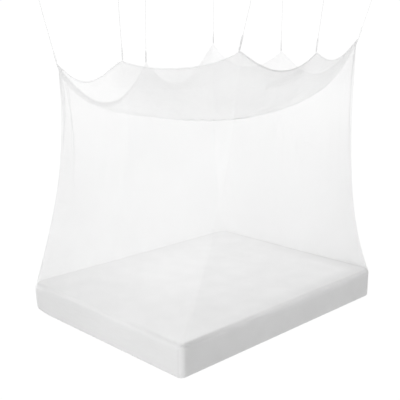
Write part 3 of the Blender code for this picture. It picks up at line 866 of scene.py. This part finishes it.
def add_loop(name, material):
    """A doubled tape, pinched together where its cord is tied and at its foot."""
    start, (up, side, out) = cord_line(name)[0], frame_of(name)
    rise = np.concatenate([np.linspace(0.0, 1.0, LOOP_STEPS), np.linspace(1.0, 0.0, LOOP_STEPS)])
    face = np.concatenate([np.ones(LOOP_STEPS), -np.ones(LOOP_STEPS)])
    # The two plies lie close at the foot and the head, and bow apart between
    height = LOOP_FOOT + rise * (LOOP_LENGTH - 2 * LOOP_FOOT)
    ends = np.minimum(1.0, np.minimum(rise, 1 - rise) / 0.06) ** 0.5
    gap = (PLY + PLY_BOW * np.sin(math.pi * rise) ** 2) * ends
    width = LOOP_WIDTH / 2 * (0.97 - 0.22 * ramp(rise, 0.72, 1.0))
    rings = []
    for outer, across in LOOP_SECTION:
        away = face * np.maximum(0.0002, gap + PLY * outer * ends)
        curl = 0.0004 * np.cos(across * math.pi) * ends
        ring = start + up * height[:, None] + out * (away + face * curl)[:, None]
        rings.append(ring + side * (width * across)[:, None])
    points, count = np.concatenate(rings), 2 * LOOP_STEPS
    steps = np.linspace(0, 2 * LOOP_LENGTH, count)
    around = np.arange(len(rings)) * 0.003
    uv = np.stack([np.tile(steps, len(rings)), np.repeat(around, count)], 1)
    gather = np.full(len(points), LOOP_COVER)
    faces = grid_faces(len(rings), count, wrap=True)
    loop = add_mesh(f"tape_loop_{name}", points, faces, material, uv=uv, gather=gather)
    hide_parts(f"loop_{name}")
    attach(loop, "root")


def cord_route(name, count):
    start, up, end = cord_line(name)
    low = start + up * (LOOP_LENGTH + SEAT_GAP)
    length = np.linalg.norm(end - low)
    share = np.linspace(0, 1, count)[:, None]
    route = low + (end - low) * share
    route[:, 2] -= (4 * CORD_SAG * length * share * (1 - share))[:, 0]
    return route


STRAND_STEP, STRAND_SIDES, STRAND_LAY = 0.0011, 12, 0.0075  # the lay is one full turn's length


def add_cord(name, material, steel):
    """Three strands twisted into one cord, up to its ceiling hook."""
    hook = add_hook(name, steel)
    route = cord_route(name, CORD_POINTS)
    length = float(np.linalg.norm(np.diff(route, axis=0), axis=1).sum())
    count, sides = int(length / STRAND_STEP), STRAND_SIDES
    line = cord_route(name, count)
    _, side, out = frame_of(name)
    angle = np.linspace(0, 2 * math.pi, sides, endpoint=False)
    twist = 2 * math.pi * np.linspace(0, length, count) / STRAND_LAY
    lobe = np.abs(np.cos(1.5 * (angle[None, :] - twist[:, None])))
    radius = CORD_WIDTH / 2 * (0.80 + 0.22 * lobe)
    points = line[:, None] + radius[..., None] * (
        side * np.cos(angle)[None, :, None] + out * np.sin(angle)[None, :, None]
    )
    faces = [tuple(reversed(f)) for f in grid_faces(count, sides, wrap=True)]
    faces.append(tuple(range(sides)))
    faces.append(tuple(reversed(range((count - 1) * sides, count * sides))))
    cord = add_mesh(f"twine_{name}", points, faces, material)
    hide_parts(f"cord_{name}")
    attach(cord, "root")


# The turned rose and stem of a ceiling eye: (radius, height from the ceiling)
EYE_PROFILE = (
    (0.0, 0.0), (0.0152, 0.0), (0.0160, -0.0006), (0.0158, -0.0016), (0.0140, -0.0028),
    (0.0090, -0.0034), (0.0040, -0.0037), (0.0026, -0.0048), (0.0021, -0.0070), (0.0020, -0.0150),
    (0.0024, -0.0165), (0.0020, -0.0180), (0.0, -0.0184),
)
ROSE_SIDES, RING_SIDES, WIRE_SIDES = 32, 40, 10


def add_hook(name, material):
    """Ceiling eye: a domed rose, a turned stem and a ring. One surface of revolution and a torus."""
    hook_x, hook_y = HANG[name][3:5]
    angle = np.linspace(0, 2 * math.pi, ROSE_SIDES, endpoint=False)
    points = [
        (hook_x + r * math.cos(a), hook_y + r * math.sin(a), CEILING + z)
        for r, z in EYE_PROFILE
        for a in angle
    ]
    faces = grid_faces(len(EYE_PROFILE), ROSE_SIDES, wrap=True)
    faces += grid_faces(RING_SIDES, WIRE_SIDES, wrap=True, start=len(points), ring=True)
    centre = np.array((hook_x, hook_y, CEILING - PLATE_THICK - STEM - EYE_RADIUS))
    for k in range(RING_SIDES):
        turn = 2 * math.pi * k / RING_SIDES
        spoke = np.array((math.sin(turn), 0.0, math.cos(turn)))
        for m in range(WIRE_SIDES):
            a = 2 * math.pi * m / WIRE_SIDES
            out, aside = EYE_RADIUS + EYE_WIRE * math.cos(a), EYE_WIRE * math.sin(a)
            points.append(centre + spoke * out + np.array((0, aside, 0)))
    hook = add_mesh(f"ceiling_eye_{name}", points, faces, material)
    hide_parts(f"hook_{name}")
    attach(hook, "root")
    return hook


# --- The mattress ---


def bed_outline():
    """(side, s) stations once round the mattress."""
    stations = []
    for side in SIDES:
        run, arc = side_run(side), BED_CORNER * math.pi / 4
        near = np.linspace(0, arc, 9)[:-1]
        straight = np.linspace(arc, run - arc, 61 if side in ("right", "left") else 49)
        stations += [(side, s) for s in (*near, *straight, *(run - near[::-1])[:-1])]
    return stations


BASE_RINGS, SIDE_RINGS, EDGE_RINGS = 7, 9, 11  # of the lower edge, the side and the upper edge
UNDER_INSET, SLACK, WRINKLE = 0.070, 0.0012, 0.0022
# Rings of the top, as shares of its outermost ring
TOP_SHARES = (0.985, 0.96, 0.93, 0.89, 0.84, 0.77, 0.68, 0.57, 0.44, 0.30, 0.15)
# Painted shade on the cover's upper edge, which darkens the highlight that the lights give it: all round, by
# the near corner, by the foot's left corner, on the right
EDGE_SHADE, NEAR_SHADE, LEFT_SHADE, RIGHT_SHADE = 0.055, 0.20, 0.19, 0.105
UNDER_EDGE_LIGHT = 0.055  # painted light: how much lighter the right side is painted just under its edge
TOP_SHADE = (0.09, 0.08, 0.06, 0.03)  # painted shade on the top's first rings, on the right and by the left corner


def cover_shading(walk, out, rings):
    """Painted shading by ring, from the underside to the middle of the top. rings counts those before the
    top's.
    """
    past = walk - side_run("foot")
    near, left, right = abs(past), np.minimum(walk, walk[-1] - walk), bell(past, 1.8, 1.1)
    edge_shading = EDGE_SHADE + NEAR_SHADE * bell(near, 0, 0.48) + LEFT_SHADE * bell(left, 0, 0.40)
    painted_shading = np.zeros((rings + len(TOP_SHARES), len(walk)))
    for k in range(EDGE_RINGS):
        angle = 90.0 * k / (EDGE_RINGS - 1)
        # Painted shade across the rounded upper edge, where the lights would give a highlight
        darkened = edge_shading * bell(angle, 55.0, 31.0)
        darkened += right * (RIGHT_SHADE * bell(angle, 75.0, 25.0) - UNDER_EDGE_LIGHT * bell(angle, 0.0, 25.0))
        painted_shading[rings - EDGE_RINGS + k] = darkened
    for k, share in enumerate(TOP_SHADE):
        painted_shading[rings + k] = share * (right + 0.8 * bell(left, 0, 0.35))
    painted_shading[: rings - EDGE_RINGS // 2 - 1] += corner_shading(out) * bell(near, 0, 0.48) + foot_shading(walk)
    return painted_shading


def add_mattress(material):
    """A foam mattress in a fitted cover: soft upper edge, corner seams, small creases."""
    stations = bed_outline()
    rim, out = (np.array(part) for part in zip(*(outline(side, s) for side, s in stations)))
    rim -= out * (NET_THICK + CLOTH_GAP)
    edge = np.array([mix(side, s, 7) for side, s in stations])
    walk = walked(rim)
    floor = NET_THICK + SEAT_GAP
    rings = []

    def ring(inward, z):
        level = rim - out * np.broadcast_to(inward, len(rim))[:, None]
        rings.append(np.column_stack([level, np.broadcast_to(z, len(rim))]))

    base = np.array([base_round(side, s) for side, s in stations])
    full = BASE_BULGE * (base - BASE_ROUND) / (BASE_SOFT - BASE_ROUND)
    ring(UNDER_INSET, floor)
    for k in range(BASE_RINGS):
        angle = math.pi / 2 * (1 - k / (BASE_RINGS - 1))
        ring(base * (1 - math.cos(angle)), floor + base * (1 - math.sin(angle)))
    for k in range(1, SIDE_RINGS + 1):
        share = k / (SIDE_RINGS + 1)
        z = floor + base + (BED_TOP - edge - floor - base) * share
        sag = SLACK * math.sin(math.pi * share) * ripples(walk, 0 * walk, 51, 8, 0.22, 1.0)
        ring(np.maximum(0.0, SLACK + sag) - full * math.sin(math.pi * share), z)
    strong = np.where([side == "right" for side, _ in stations], 1.6, 0.6)
    for k in range(EDGE_RINGS):
        share = k / (EDGE_RINGS - 1)
        angle = math.pi / 2 * share
        wrinkle = WRINKLE * ripples(walk, 0 * walk + 0.3 * k, 52, 10, 0.05, 2.0) * math.sin(math.pi * share)
        inward = edge * (1 - math.cos(angle)) + np.maximum(0, wrinkle * strong)
        ring(inward, BED_TOP - edge + edge * math.sin(angle) - 0.0002)
    # Painted shading of the cover: shade along its upper edge, and light and shade round the near corner
    painted_shading = cover_shading(walk, out, len(rings))
    outermost = rings[-1]
    for share in TOP_SHARES:
        inner = outermost * (share, share, 1.0)
        x, y = inner[:, 0], inner[:, 1]
        inner[:, 2] += 0.0010 * ripples(x, y, 53, 10, 0.45, 0.5) * ramp(1 - share, 0.0, 0.1) - 0.0012
        rings.append(inner)
    count, cols = len(rings), len(rim)
    faces = [tuple(reversed(f)) for f in grid_faces(count, cols, wrap=True)]
    faces.append(tuple(range(cols))[::-1])
    faces.append(tuple((count - 1) * cols + k for k in range(cols)))
    mattress = add_mesh("mattress_cover", rings, faces, material, painted_shading=painted_shading)
    mattress.data.set_sharp_from_angle(angle=math.radians(24))
    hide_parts("mattress")
    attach(mattress, "root")


# --- Floor and light ---


def add_stage():
    """A floor that glows pale, a studio world, a broad sun and one small fill light."""
    glow = {"Emission Color": WHITE, "Emission Strength": FLOOR_GLOW, "Specular IOR Level": 0.0}
    nodes = Nodes("floor", FLOOR_GREY, 0.9, glow)
    corners = [(40.0 * x, 40.0 * y, -0.0005) for x, y in ((-1, -1), (1, -1), (1, 1), (-1, 1))]
    plane = add_mesh("floor", corners, [(0, 1, 2, 3)], nodes.material)

    world = bpy.data.worlds.new("studio")
    world.use_nodes = True
    bpy.context.scene.world = world
    tree = world.node_tree
    tree.nodes.clear()
    out = tree.nodes.new("ShaderNodeOutputWorld")
    path, blend = tree.nodes.new("ShaderNodeLightPath"), tree.nodes.new("ShaderNodeMixShader")
    tree.links.new(path.outputs["Is Camera Ray"], blend.inputs[0])
    for place, strength in ((1, AMBIENT), (2, BACKDROP)):
        light = tree.nodes.new("ShaderNodeBackground")
        light.inputs["Color"].default_value = WHITE
        light.inputs["Strength"].default_value = strength
        tree.links.new(light.outputs[0], blend.inputs[place])
    tree.links.new(blend.outputs[0], out.inputs["Surface"])

    sun = bpy.data.lights.new("key", "SUN")
    sun.energy, sun.angle = KEY_POWER, math.radians(KEY_SIZE)
    key = add_object("key", sun)
    key.rotation_euler = (*map(math.radians, KEY_LEAN), 0.0)

    # A small panel by the near corner lifts the foot side there
    panel = bpy.data.lights.new("foot_fill", "AREA")
    panel.shape, panel.size, panel.energy = "SQUARE", 0.3, FILL_POWER
    fill = add_object("foot_fill", panel)
    fill.location = FILL_PLACE
    aim = mathutils.Vector(FILL_AIM) - fill.location
    fill.rotation_euler = aim.to_track_quat("-Z", "Y").to_euler()


def main():
    bpy.context.scene.view_settings.view_transform = "Standard"
    add_camera()
    net, tape = net_material(), tape_material("tape", TAPE_WHITE, 0.0012)
    loops, twine, steel = tape_material("loop_tape", TAPE_WHITE, 0.0010), cord_material(), steel_material()
    for name in HANG:
        add_cord(name, twine, steel)
        add_loop(name, loops)
    add_mattress(cover_material())
    for side in SIDES:
        add_panel(side, net)
    roof, binding = add_roof(net), add_tape(tape)
    add_stage()


main()
